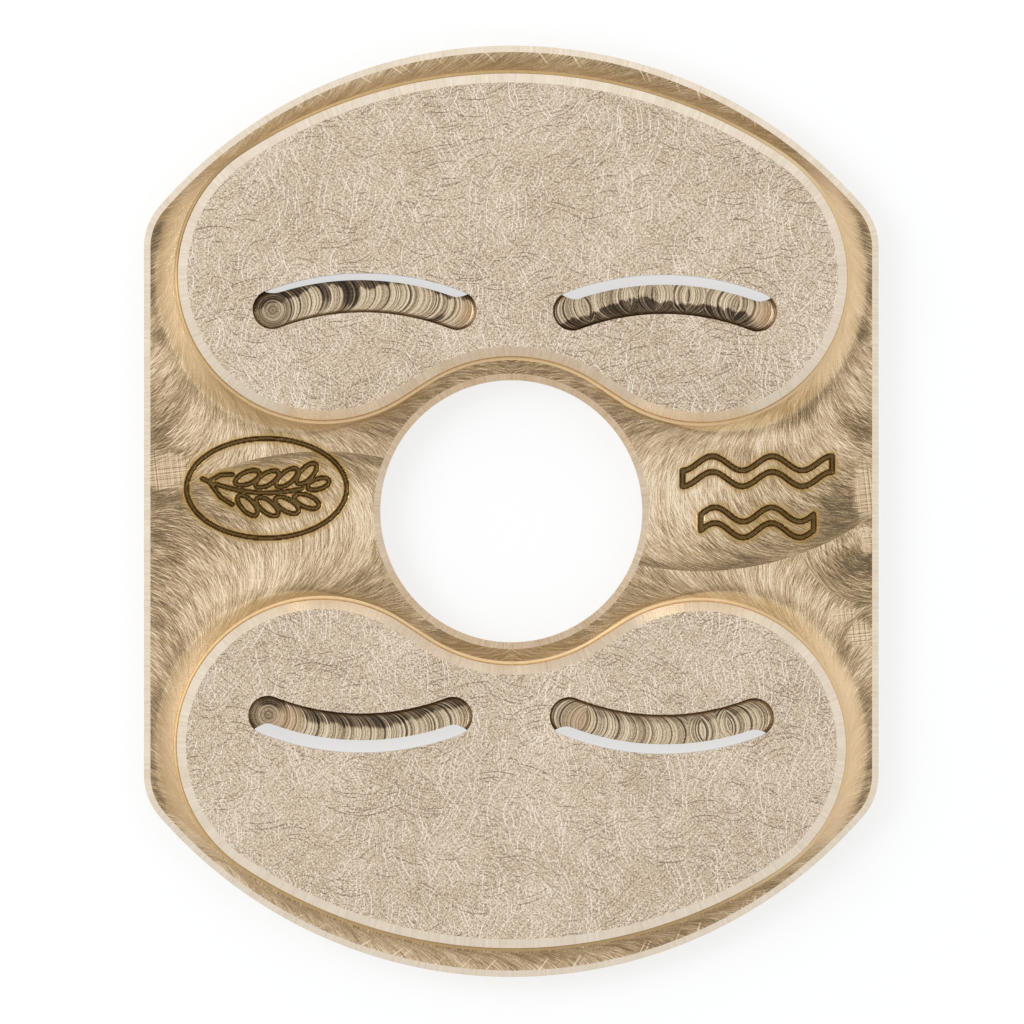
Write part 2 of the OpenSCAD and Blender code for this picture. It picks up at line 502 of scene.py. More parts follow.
def cutGroove(shell, setup):
    # one groove and its slit; returns the rim at the pad's top and the slit's mouth at the back
    g = grooveSetup
    spin = turning(setup["turn"])
    centre = np.array(setup["middle"]) - (0, g["radius"])
    quarter, half = math.pi / 2, math.asin(g["spread"] / g["radius"])
    band = g["radius"], quarter - half, quarter + half, g["half"]
    rim, mouth = crossLoops(arcSlot(*band, g["step"])[0] @ spin + centre,
                            slitLoop(setup, g["step"]) @ spin + centre)

    # rings that follow the wall down the floor's round edge, then an even grid
    rings = [arcSlot(*band[:3], g["half"] - gap, g["step"])[0] for gap in g["rings"]]
    wide, high = g["spread"] + g["half"], g["radius"] + g["half"]
    x, y = np.meshgrid(np.arange(-wide, wide, g["grid"]),
                       np.arange(g["radius"] - 3.2, high, g["grid"] * 0.866))
    x = x + (np.arange(len(y)) % 2)[:, None] * g["grid"] / 2
    grid = np.column_stack([x.ravel(), y.ravel()])
    grid = grid[slotDepth(grid, *band) > g["rings"][-1] + 0.5 * g["grid"]]
    inner = np.concatenate([*rings, grid])
    inAlong = (quarter - np.arctan2(inner[:, 1], inner[:, 0])) * g["radius"]
    inAcross = np.hypot(inner[:, 0], inner[:, 1]) - g["radius"]
    inner = inner[inAcross < slitEdge(inAlong, setup) - 0.03] @ spin + centre

    corners, triangles, inside = cutPlane([rim, mouth], inner)
    local = (corners - centre) @ spin.T
    depth = np.clip(slotDepth(local, *band), 0, None)
    nose = np.clip(g["nose"] - depth, 0, None)
    floor = g["floor"] + g["nose"] - np.sqrt(g["nose"] ** 2 - nose ** 2)

    # cutter marks: arcs of radius sweep that bulge along the groove, and whole rings
    # about the left end, where the cutter went down
    across = np.hypot(local[:, 0], local[:, 1]) - g["radius"]
    along = (quarter - np.arctan2(local[:, 1], local[:, 0])) * g["radius"]
    bulge = np.sqrt(np.clip(g["sweep"] ** 2 - across ** 2, 0, None))
    turned = (waver(along * 0.8 + 50, setup["seed"] + 6) < setup["coins"]) & (np.abs(along) < 5.6)
    turned |= (along < -6.1) & (setup["plunge"] < 0.5)
    passed = along - bulge * np.where(turned, -1, 1)
    endAlong = -half * g["radius"]
    ring = np.hypot(along - endAlong, across)
    plunge = setup["plunge"] * np.clip((1.32 - ring) / 0.12, 0, 1)
    phase = passed * (1 - plunge) + (ring * 0.8 - 20) * plunge
    wobble = 0.25 * waver(phase * 1.7, setup["seed"]) + 0.1 * waver(across * 2 + 9, setup["seed"] + 1)
    turns = (phase + wobble) / g["pitch"]
    height = 2 * np.abs(turns - np.floor(turns) - 0.5)
    height = height * (0.35 + 0.65 * waver(phase * 1.1 + 30, setup["seed"] + 2))
    floor = floor + g["ridge"] * height * np.clip(depth / 0.3, 0, 1)

    # patina: a dark band along one side, more of it in some stretches than in others
    side = setup["dark"] * across
    start = setup["band"] + 0.6 * waver(along * 0.35 + 12, setup["seed"] + 3)
    darkBand = np.clip((side - start + 0.35 * waver(along * 3, setup["seed"] + 4)) / 0.4, 0, 1)
    bars = np.clip((waver(phase * 1.4 + 7, setup["seed"] + 5) - 0.55) * 4.5, 0, 1)
    bars = bars * waver(across * 1.3 + along * 0.4 + 40, setup["seed"] + 7) * 1.5
    patina = np.clip(setup["shade"] * darkBand + setup["bars"] * bars, 0, 1)
    patina = patina * (1 - 0.5 * plunge) + 0.5 * plunge * np.clip((ring - 0.7) / 0.2, 0, 1)
    spot = np.clip(1.5 - np.hypot(along - setup["smooth"], across * 0.8), 0, 1)
    patina = patina * (1 - 0.8 * spot)
    # near the wall the floor gets a painted warm shade and reflection of the wall
    wallReflectionAndSpot = np.clip((0.45 - depth) / 0.45, 0, 1)
    wallReflectionAndSpot = wallReflectionAndSpot - spot * (1 - wallReflectionAndSpot)        # above 0 near the wall, below 0 on the smooth spot
    marks = np.column_stack([phase, patina, wallReflectionAndSpot, np.zeros(len(phase))])

    if setup["side"] < 0:
        corners, triangles = corners * (1, -1), triangles[:, ::-1]
        rim, mouth = rim[::-1] * (1, -1), mouth[::-1] * (1, -1)
    size = len(corners)
    levels = [np.zeros(size), floor, np.full(size, g["slitTop"]), np.full(size, topZ)]
    points = np.concatenate([np.column_stack([corners, z]) for z in levels])
    marks = np.tile(marks, (4, 1))
    marks[size * 2:, 1:3] = -1, 0          # walls above the slit: bright, without patina

    inGroove, inSlit = inside[:, 0], inside[:, 1]
    shell.add(points, triangles[inGroove & ~inSlit] + size, grooveCut, marks=marks)
    shell.add(points, triangles[~inGroove & inSlit][:, ::-1] + 2 * size, grooveCut, marks=marks)

    # a wall stands wherever two neighbours differ: sides of the one kind of triangle
    # that are, turned round, sides of the other
    kind = inGroove * 1 + inSlit * 2
    sides = np.concatenate([triangles[:, [0, 1]], triangles[:, [1, 2]], triangles[:, [2, 0]]])
    kinds = np.tile(kind, 3)
    key = sides[:, 0].astype(np.int64) * size + sides[:, 1]
    order = np.argsort(key)
    turned = sides[:, 1].astype(np.int64) * size + sides[:, 0]
    slot = np.clip(np.searchsorted(key[order], turned), 0, len(key) - 1)
    found = key[order][slot] == turned
    other = np.where(found, kinds[order][slot], 0)
    for mine, theirs, rows in ((1, 0, (1, 2, 3)), (3, 2, (2, 3)), (3, 1, (0, 1)), (2, 0, (0, 1, 2))):
        a, b = sides[(kinds == mine) & (other == theirs)].T
        for low, high in zip(rows[:-1], rows[1:]):
            wall = np.concatenate([
                np.stack([b + low * size, a + low * size, a + high * size], 1),
                np.stack([b + low * size, a + high * size, b + high * size], 1)])
            shell.add(points, wall, grooveCut, marks=marks)
    return rim, mouth


rims, mouths = {}, []
for name, setup in grooves.items():
    rim, mouth = cutGroove(shell, setup)
    rims.setdefault(setup["side"], []).append(rim)
    mouths.append(mouth)
    print("groove", name, len(rim), "points round its rim")

outer = plateOutline()
edge = plate["chamfer"]
shell.carry(outer, [(-edge, 0), (0, edge), (0, faceZ - edge), (-edge, faceZ)], [cutEdge] * 3)
turns = np.linspace(0, -2 * math.pi, 240, endpoint=False)
around = np.stack([np.cos(turns), np.sin(turns)], 1)
hole = plate["hole"] * around, -around
edge = plate["holeChamfer"]
shell.carry(hole, [(-edge, 0), (0, edge), (0, faceZ - edge), (-edge, faceZ)], [cutEdge] * 3)
holeMouth = (plate["hole"] + edge) * around[::-1]      # anticlockwise, as a loop to fill has to be

feet = []
for side in (1, -1):
    loop = padOutline(side)
    foot, rows = pads["foot"], pads["footRows"]
    swing = np.linspace(0, math.pi / 2, rows + 1)
    profile = [(foot - foot * math.sin(a), faceZ + foot - foot * math.cos(a)) for a in swing]
    profile += [(0, topZ - pads["chamfer"]), (-pads["chamfer"], topZ)]
    shell.carry(loop, profile, [padFoot] * (rows + 1) + [cutEdge])
    feet.append(loop[0] + foot * loop[1])
    shell.fill([loop[0] - pads["chamfer"] * loop[1], *rims[side]], topZ, brushedTop)


# Engraved ornaments beside the hole: an ear of wheat in an oval, and two wavy ribbons
ornaments = {
    "wheat": {"middle": (-18.65, 1.75), "size": (13.6, 9.0), "stroke": 0.38},
    "ribbons": {"middle": (18.75, 1.15), "size": (13.6, 8.4), "stroke": 0.44},
    "grid": 0.085, "depth": 0.2, "slope": 0.13, "lip": 0.025,
    "reach": 0.7,                           # how far from a stroke its burnt edge is kept on the mesh
}


def ellipseLine(middle, wide, high, turn, count=40):
    # a closed ellipse of half sizes wide and high, turned by turn
    angle = np.linspace(0, 2 * math.pi, count + 1)
    x, y = wide * np.cos(angle), high * np.sin(angle)
    return np.stack([middle[0] + x * math.cos(turn) - y * math.sin(turn),
                     middle[1] + x * math.sin(turn) + y * math.cos(turn)], 1)


def wheatLines():
    # an oval, a curved stem and pairs of grains that lean along it
    lines = [ellipseLine((0, 0), 6.1, 3.8, 0, 90)]
    x = np.linspace(-4.9, 2.7, 24)

    def stem(at):
        return 0.045 * at * at - 0.35
    lines.append(np.stack([x, stem(x)], 1))
    for k in range(4):
        at = -2.2 + 1.5 * k
        for side in (1, -1):
            lines.append(ellipseLine((at + 0.75, stem(at + 0.75) + side * 1.05), 1.0, 0.46,
                                     side * 0.6 + 0.09 * at, 26))
    lines.append(ellipseLine((3.95, stem(3.6) + 0.1), 0.85, 0.4, 0.3, 26))
    for side in (1, -1):
        lines.append(np.array([(-4.4, stem(-4.4)), (-3.5, stem(-3.4) + side * 0.85),
                               (-2.6, stem(-2.4) + side * 1.15)]))
    return lines


def ribbonLines():
    # bands between two equal waves, closed at both ends
    lines = []
    for y, length, waves in ((1.9, 11.4, 2.5), (-2.0, 8.6, 2.0)):
        x = np.linspace(-length / 2, length / 2, 90)
        wave = 0.55 * np.sin(2 * math.pi * waves * x / length)
        upper, lower = np.stack([x, y + wave + 0.6], 1), np.stack([x, y + wave - 0.6], 1)
        lines.append(np.concatenate([upper, lower[::-1], upper[:1]]))
    return lines


def lineDistance(points, lines):
    # shortest way from every point to any of the lines
    best = np.full(len(points), np.inf)
    for line in lines:
        start, way = line[:-1], np.diff(line, axis=0)
        offset = points[:, None] - start
        share = np.clip((offset * way).sum(2) / (way ** 2).sum(1), 0, 1)
        best = np.minimum(best, np.linalg.norm(offset - share[..., None] * way, axis=2).min(1))
    return best


def engrave(shell, setup, lines):
    # a patch of fine mesh, pressed in along the lines; returns its outline.
    # depth runs smoothly from the stroke's edge down over the width of its slope
    columns, rows = (round(s / ornaments["grid"]) for s in setup["size"])
    x = np.linspace(-0.5, 0.5, columns + 1) * setup["size"][0]
    y = np.linspace(-0.5, 0.5, rows + 1) * setup["size"][1]
    gridX, gridY = np.meshgrid(x, y)
    flatPoints = np.column_stack([gridX.ravel(), gridY.ravel()])
    inside = setup["stroke"] / 2 - lineDistance(flatPoints, lines)
    share = np.clip((inside + 0.02) / ornaments["slope"], 0, 1)
    lip = np.clip(1 - np.abs(inside + 0.07) / 0.06, 0, 1) * ornaments["lip"]
    z = faceZ + lip - ornaments["depth"] * share * share * (3 - 2 * share)
    burn = np.clip(inside + ornaments["reach"], 0, None)
    wide = columns + 1
    here = (np.arange(rows)[:, None] * wide + np.arange(columns)).ravel()
    quads = [here, here + 1, here + wide + 1], [here, here + wide + 1, here + wide]
    place = flatPoints + setup["middle"]
    marks = np.zeros((len(place), 4))
    marks[:, 3] = burn
    shell.add(np.column_stack([place, z]), np.concatenate([np.stack(q, 1) for q in quads]),
              milledFace, marks=marks)
    order = np.arange(len(place)).reshape(rows + 1, wide)
    around = np.concatenate([order[0, :-1], order[:-1, -1], order[-1, :0:-1], order[:0:-1, 0]])
    return place[around]


patches = [engrave(shell, ornaments["wheat"], wheatLines()),
           engrave(shell, ornaments["ribbons"], ribbonLines())]
plateFace = outer[0] - plate["chamfer"] * outer[1]
shell.fill([plateFace, holeMouth, *feet, *patches], faceZ, milledFace)
shell.fill([plateFace, holeMouth, *mouths], 0.0, turnedBack, up=False)

points, marks, triangles, finish, flat = shell.weld()
print("body:", len(points), "points,", len(triangles), "triangles,", openSides(triangles), "open sides")


def buildMesh(name, points, triangles, finish, flat, marks):
    mesh = bpy.data.meshes.new(name)
    mesh.from_pydata((points * mm).tolist(), [], triangles.tolist())
    mesh.polygons.foreach_set("material_index", finish.astype(np.int32))
    mesh.polygons.foreach_set("use_smooth", ~flat)
    mesh.set_sharp_from_angle(angle=math.radians(32))
    cut = mesh.attributes.new("cutMap", "FLOAT_VECTOR", "POINT")
    cut.data.foreach_set("vector", marks[:, :3].astype(np.float32).ravel())
    burn = mesh.attributes.new("burnMap", "FLOAT", "POINT")
    burn.data.foreach_set("value", marks[:, 3].astype(np.float32))
    mesh.update()
    return mesh


dieMesh = buildMesh("dieBody", points, triangles, finish, flat, marks)
die = bpy.data.objects.new("dieBody", dieMesh)
bpy.context.scene.collection.objects.link(die)


# Hairlines: arcs about a scattered centre in each cell of a pattern, and how far each
# point's arc runs along y, (x - centre x)^2 / radius^2
def hairArcs(place, scale, spread, density, shift):
    moved = place.node("VectorMath", {"operation": "ADD"}, {0: place, 1: (shift, shift * 1.7, 0.0)})
    cell = {"voronoi_dimensions": "2D", "feature": "F1"}
    colour = moved.node("TexVoronoi", cell, {"Vector": moved, "Scale": scale}, out=1)
    middle = Signal(place.tree, colour.socket.node.outputs[2])
    offset = colour.node("VectorMath", {"operation": "SUBTRACT"}, {0: colour, 1: (0.5, 0.5, 0.5)})
    centre = colour.node("VectorMath", {"operation": "MULTIPLY_ADD"},
                         {0: offset, 1: (spread, spread, 0.0), 2: middle})
    flatPlace = moved.node("VectorMath", {"operation": "MULTIPLY"}, {0: moved, 1: (1.0, 1.0, 0.0)})
    radius = centre.node("VectorMath", {"operation": "DISTANCE"}, {0: flatPlace, 1: centre}, out=1)
    chance = colour.node("SeparateXYZ", values={0: colour})
    arm = flatPlace.node("VectorMath", {"operation": "SUBTRACT"}, {0: flatPlace, 1: centre})
    lean = arm.node("SeparateXYZ", values={0: arm}) / radius
    return (radius * density + chance * 91.0).streak(0.0), lean * lean


def dressTop(name):
    # pad tops: brushed by hand in every direction, fine bright and dark hairlines, painted bright where they
    # run upright and dark where they lie across: a painted sheen of the brushing
    material, start, shader = newMaterial(name)
    place, x, y, z = millimetres(start)
    weave, bright, dark = 0.0, 0.0, 0.0
    for row in ((1.6, 9.0, 11.5, 5.3), (2.3, 7.0, 13.0, 27.1), (1.1, 10.0, 10.5, 49.9)):
        hair, upright = hairArcs(place, *row)
        weave = hair - 0.5 + weave
    # bright hairlines count only where they run upright: painted sheen
    for row in ((0.33, 16.0, 6.5, 3.1), (0.45, 13.0, 7.0, 17.3), (0.6, 8.0, 7.5, 41.7)):
        hair, upright = hairArcs(place, *row)
        bright = hair.above(0.69, 0.76) * upright + bright
    # dark hairlines count only where they lie across: painted shade
    for row in ((0.4, 10.0, 7.0, 9.4), (0.65, 6.0, 8.0, 53.2)):
        hair, upright = hairArcs(place, *row)
        dark = hair.above(0.7, 0.78) * (1.0 - upright) + dark
    grain = cloud(place, 8.0, 2.0, 0.9)
    soft = cloud(place, 0.16, 2.0)
    level = (weave * 0.3 + (grain - 0.5) * 2.7 + bright * 0.42 - dark * 0.46
             + (soft - 0.5) * 0.35 + 0.53).within(0.0, 1.0)
    colour = level.node("ValToRGB", {"stops": [
        (0.0, tone(134, 113, 97)), (0.3, tone(184, 163, 140)), (0.55, tone(214, 195, 170)),
        (0.8, tone(238, 220, 197)), (1.0, tone(253, 242, 228))]}, {0: level})
    plug(colour, shader, "Base Color")
    plug(0.46 - level * 0.16, shader, "Roughness")
    bumped(grain, shader, 0.00002, 0.3)
    shader.inputs["Metallic"].default_value = 1.0
    return material


mill = {
    "radius": 5.6,
    "fan": (27.5, -1.4, 5.7),            # where the mill stood still: its centre and reach
    "dark": [                            # darker patches: centre, half sizes, turn in degrees
        (25.4, -0.2, 1.9, 2.2, 15), (22.3, 8.0, 2.1, 0.8, 45), (-25.9, 2.6, 2.0, 3.8, 0),
        (25.8, -4.2, 2.2, 1.0, 0), (-26.4, -3.0, 1.6, 2.2, 0), (26.6, 6.4, 1.5, 2.0, -20),
        (26.7, 20.8, 0.9, 2.0, 0), (26.6, 14.0, 0.8, 1.1, 20), (-26.8, 13.2, 0.9, 1.0, 0),
        (-26.9, 21.1, 0.8, 1.8, -15), (-25.1, 12.2, 0.9, 0.7, 30), (26.0, -11.3, 1.5, 1.0, 0)],
    "cross": [                           # bright patches with strokes both ways
        (26.95, 1.8, 0.8, 2.1, 0), (27.2, -2.4, 0.5, 0.7, 0), (25.2, -7.9, 1.1, 0.5, 10),
        (26.6, -9.4, 0.9, 0.9, 0), (-26.0, 3.0, 1.5, 1.4, 0)],
    "bright": [                          # places where the strokes shine
        (11.9, 1.0, 2.4, 4.6, 0), (17.4, 6.2, 4.6, 1.1, 0), (26.2, -1.9, 1.6, 0.5, 15),
        (24.8, 4.6, 1.6, 1.2, 0)],
}


def cutterMarks(x, y, full):
    # what a face mill of radius r leaves as it goes round a pad, in the quarter x, y > 0;
    # full is x with its sign, for the back arc, whose marks run on from left to right.
    # its centre runs on a circle of radius q about the lobe, the back arc or the hole:
    # a point at radius p, angle a was last touched with the centre at angle
    # a + acos((p^2 + q^2 - r^2) / (2 p q)). Returns the way run, the way along the
    # stroke, how upright the stroke is, and the distance to the lobe's centre
    r = mill["radius"]

    def touched(dx, dy, q):
        p = (dx * dx + dy * dy) ** 0.5
        share = ((p * p + q * q - r * r) / (2 * q * p)).within(-1.0, 1.0)
        return p, dy.calc("ARCTAN2", dy, dx) + dy.calc("ARCCOSINE", share)
    lobeQ = pads["lobe"] + pads["foot"] + r
    backQ = backR + pads["foot"] + r
    dx, dy = x - lobeX, y - lobeY
    far, turn = touched(dx, dy, lobeQ)
    _, backAngle = touched(x, y - backY, backQ)
    _, fullAngle = touched(full, y - backY, backQ)
    onBack = (turn > backTurn) * (backAngle > backTurn)
    run = onBack.pick(lobeQ * (turn - backTurn), backQ * (fullAngle - backTurn))
    centreX = onBack.pick(lobeX + lobeQ * turn.calc("COSINE", turn),
                          backQ * fullAngle.calc("COSINE", fullAngle))
    lean = ((onBack.pick(x, full) - centreX) / r).within(-1.0, 1.0)
    return run, lean.calc("ARCCOSINE", lean) * r, lean * lean, far


def strokes(run, along, across, length, shift=0.0, detail=2.0):
    # noise drawn out along the strokes of a cutter
    vector = run.node("CombineXYZ", values={0: run * across, 1: along * length + shift, 2: shift})
    return vector.node("TexNoise", {"noise_dimensions": "2D"},
                       {"Vector": vector, "Scale": 1.0, "Detail": detail, "Roughness": 0.6})


def patchMask(x, y, ragged, rows):
    # 1 inside any of the ellipses, with a ragged edge
    best = None
    for middleX, middleY, wide, high, turn in rows:
        c, s = math.cos(math.radians(turn)), math.sin(math.radians(turn))
        dx, dy = x - middleX, y - middleY
        u, v = (dx * c + dy * s) / wide, (dy * c - dx * s) / high
        mask = (u * u + v * v + ragged).above(1.25, 0.75)
        best = mask if best is None else best.calc("MAXIMUM", best, mask)
    return best


def dressFace(name):
    # the milled face round the pads: two passes of a face mill that overlap
    material, start, shader = newMaterial(name)
    place, x, y, z = millimetres(start)
    wideX, highY = abs(x), abs(y)
    own = cutterMarks(wideX, highY, x)
    other = cutterMarks(wideX, -highY, x)
    # on the right the upper pad's pass lies on top, on the left the lower one's
    reach = pads["lobe"] + pads["foot"] + 2 * mill["radius"]
    swapped = ((x * y) < 0.0) * (other[3] < reach)
    run, along, upright = (swapped.pick(a, b) for a, b in zip(own[:3], other[:3]))
    lower = abs((y < 0.0) - swapped)                 # 1 where the lower pad's pass shows
    fanX, fanY, fanR = mill["fan"]
    dx, dy = x - fanX, y - fanY
    fanFar = (dx * dx + dy * dy) ** 0.5
    fan = (fanFar < fanR) * lower
    run = fan.pick(run + lower * 40.0, fanFar + 90.0)
    along = fan.pick(along, dx.calc("ARCTAN2", dx, dy) * 4.0)
    upright = fan.pick(upright, (dx / fanFar) ** 2.0)

    fine = strokes(run, along, 9.5, 0.42)
    hair = strokes(run, along, 20.0, 0.9, 31.0)
    skew = strokes(run + along * 0.3, along, 9.5, 0.45, 57.0)
    broad = strokes(run, along, 0.6, 0.12, 83.0, 1.0)
    grain = cloud(place, 6.0, 2.0, 0.7)
    soft = cloud(place, 0.22, 2.0)
    back = strokes(run - along * 0.22, along, 10.5, 0.5, 71.0)
    crisp = fine.above(0.4, 0.6) + skew.above(0.44, 0.62) + back.above(0.44, 0.62) * 0.8 - 1.4
    ragged = (soft - 0.5) * 3.0 + (fine - 0.5) * 4.5
    # thin bright arcs, one for each step of the feed, in some stretches
    feed = (run * 2.6 + broad * 0.8).calc("FRACT", run * 2.6 + broad * 0.8)
    feed = abs(feed - 0.5).above(0.16, 0.02) * (soft + (hair - 0.5) * 0.8).above(0.42, 0.6)
    # strokes in groups across the outer half of the strip behind a pad
    fromOrigin = (x * x + y * y) ** 0.5
    fromBack = (x * x + (highY - backY) ** 2.0) ** 0.5 - (backR + pads["foot"])
    atHub = (highY > wideX * 1.83) * (fromOrigin < hollow)
    atBack = (fromBack > -0.3) * (highY > lobeY)
    atLeft, atBottom = x < 0.0, y < 0.0
    rimRun = x.calc("ARCTAN2", x, highY) * plate["radius"] + fromBack * 0.9
    hatch = (rimRun * 4.6).streak(0.0).above(0.6, 0.74) * (rimRun * 0.42 + 5.0).streak(1.0).above(0.46, 0.56)
    hatch = hatch * fromBack.above(0.4, 0.65) * atBack
    # the band that lies round each lobe, widest on its outer side, and dark strokes beyond it
    foot = pads["lobe"] + pads["foot"]
    outward = ((wideX - lobeX) / own[3] * 1.3 + 0.25).within(0.0, 1.0)
    band = (own[3] - foot) / (outward + 0.12) + ragged * 0.14
    away = (1.0 - atHub) * (1.0 - atBack)
    beyond = band.above(1.15, 1.4) * band.above(2.4, 1.5) * away * (hair + fine).above(0.75, 1.1)
    # a dark lip just inside the pass that lies on top
    lip = swapped * (reach - other[3]).above(1.0, 0.1) * wideX.above(23.0, 15.0)
    dark = patchMask(x, y, ragged, mill["dark"])
    cross = patchMask(x, y, ragged, mill["cross"])
    shine = patchMask(x, y, ragged, mill["bright"])
    weave = ((x * 9.0 + y).streak(1.0) + (y * 9.0 - x).streak(1.0) - 1.0) * 1.7 + 0.78
    # strokes that run upright are painted lighter (upright * 0.34): a painted sheen of the cutter lines
    level = (upright * 0.34 + 0.35 + crisp * 0.25 + (hair - 0.5) * 1.3 + feed * 0.22
             + (broad - 0.5) * 0.5 + (grain - 0.5) * 0.7 + (soft - 0.5) * 0.4
             + shine * 0.15 + hatch * 0.5 - beyond * 0.26 + atBack * atBottom * 0.08
             - dark * (0.2 + (fine - 0.5) * 1.2) - lip * 0.22).within(0.0, 1.0)
    level = (cross * 0.8).pick(level, weave.within(0.0, 1.0))
    colour = level.node("ValToRGB", {"stops": [
        (0.0, tone(112, 96, 74)), (0.25, tone(152, 130, 99)), (0.5, tone(192, 166, 130)),
        (0.75, tone(224, 200, 165)), (1.0, tone(250, 233, 206))]}, {0: level})

    # painted golden reflection close to the pads' lobes, and painted golden shade along their other sides,
    # next to the pads' walls
    glow = band.above(1.3, 0.9) * away
    # painted shade along the pads' feet, narrower on the upper right
    width = 1.25 - (1.0 - atLeft) * (1.0 - atBottom) * 0.65
    fringePaintedShade = ((own[3] - foot + ragged * 0.12) / width).above(1.0, 0.15) * (1.0 - outward) * away
    # painted shade between the hole and each pad, and behind each pad's back arc, strongest next to the
    # walls
    hubPaintedShade = atHub * (0.14 + atBottom * 0.4)
    backPaintedShade = atBack * fromBack.above(1.6, 0.1) * (0.52 - atBottom * 0.3)
    shade = hubPaintedShade.calc("MAXIMUM", hubPaintedShade, backPaintedShade)
    colour = shade.calc("MAXIMUM", shade, fringePaintedShade * 0.42).mix(colour, tone(160, 128, 84))
    # painted golden reflection round the lobes, its painted tone darker on the left
    colour = (glow * 0.66).mix(colour, (level * 1.4 - 0.2 - atLeft * 0.5).within(0.0, 1.0)
                               .mix(tone(184, 148, 98), tone(236, 204, 154)))
    # painted shade on the left part of the golden reflection
    colour = (glow * atLeft * 0.24).mix(colour, tone(136, 112, 80))
    # a painted pale highlight close to the lobes' outer sides, weaker on the left
    paintedPaleHighlight = band.above(1.5, 0.4) * ((wideX - lobeX) / own[3]).above(0.6, 0.9)
    colour = (paintedPaleHighlight * (0.55 - atLeft * 0.27)).mix(colour, tone(252, 224, 188))

    # engraved lines: burnt dark, with a yellow halo
    burn = start.node("Attribute", {"attribute_name": "burnMap"}, out=2)
    inside = burn - ornaments["reach"]
    specks = cloud(place, 11.0, 1.0)
    halo = (inside + (grain - 0.5) * 0.4).above(-0.42, -0.02)
    colour = (halo * 0.6).mix(colour, tone(182, 146, 78))
    burnt = (inside + (specks - 0.5) * 0.35).above(-0.03, 0.07)
    char = (specks * 1.6 - 0.4).within(0.0, 1.0)
    colour = (burnt * 0.92).mix(colour, char.mix(tone(58, 44, 22), tone(128, 102, 58)))
    plug(colour, shader, "Base Color")
    plug(0.42 - level * 0.1, shader, "Roughness")
    bumped(fine + hair * 0.5, shader, 0.00003, 0.35)
    shader.inputs["Metallic"].default_value = 1.0
    return material


def dressEdge(name):
    # chamfers: cleanly cut, with faint lines across them, painted lighter where they face the plate's
    # middle; the plate's sides have lines along them
    material, start, shader = newMaterial(name)
    place, x, y, z = millimetres(start)
    run, facing, _ = attribute(start, "cutMap")
    lines = (run * 4.0).streak(2.0, 0.6)
    patches = (run * 0.55 + 9.0).streak(1.0)
    grain = cloud(place, 3.0, 3.0, 0.6)
    shade = ((lines - 0.5) * 0.9 + (patches - 0.5) * 0.5 + (grain - 0.5) * 0.4 + 0.5).within(0.0, 1.0)
    # chamfers that face the plate's middle get a lighter copy of the tones: painted light
    inner = facing.above(-0.4, 0.3) * facing.above(1.0, 0.8)
    colour = inner.mix(shade.mix(tone(217, 199, 174), tone(245, 233, 216)),
                       shade.mix(tone(233, 211, 180), tone(255, 243, 223)))
    side = z.above(0.45, 0.55) * z.above(2.55, 2.45)
    turned = ((z * 6.0 + lines * 0.4).streak(3.0, 0.65) * 1.5 - 0.45 + patches * 0.3
              + (grain - 0.5) * 0.5).within(0.0, 1.0)
    colour = side.mix(colour, turned.mix(tone(178, 150, 110), tone(232, 208, 170)))
    plug(colour, shader, "Base Color")
    plug(0.24 + shade * 0.08 + side * 0.08, shader, "Roughness")
    bumped(side.pick(lines, turned), shader, 0.00001, 0.2)
    shader.inputs["Metallic"].default_value = 1.0
    return material


def dressFoot(name):
    # round foot and low wall of the pads, with a painted golden reflection where metal mirrors in metal,
    # lighter on the sides that face the plate's middle
    material, start, shader = newMaterial(name)
    place, x, y, z = millimetres(start)
    run, facing, _ = attribute(start, "cutMap")
    shade = ((run * 1.6).streak(2.0) + (z * 9.0).streak(1.0)) * 0.5
    inner = facing.above(-0.7, 0.4)
    colour = inner.mix(shade.mix(tone(176, 146, 102), tone(212, 182, 134)),
                       shade.mix(tone(222, 188, 138), tone(242, 216, 174)))
    # painted shade on the outer side near the upper left corner
    corner = x.above(-15.0, -22.0) * y.above(17.0, 20.0) * (1.0 - inner)
    colour = (corner * 0.6).mix(colour, tone(120, 98, 70))
    # a painted pale highlight on the outer sides to the right
    right = x.above(14.0, 22.0) * (1.0 - inner)
    colour = (right * 0.6).mix(colour, tone(250, 226, 186))
    plug(colour, shader, "Base Color")
    plug(0.42 + shade * 0.12, shader, "Roughness")
    bumped(shade, shader, 0.00001, 0.2)
    shader.inputs["Metallic"].default_value = 1.0
    return material


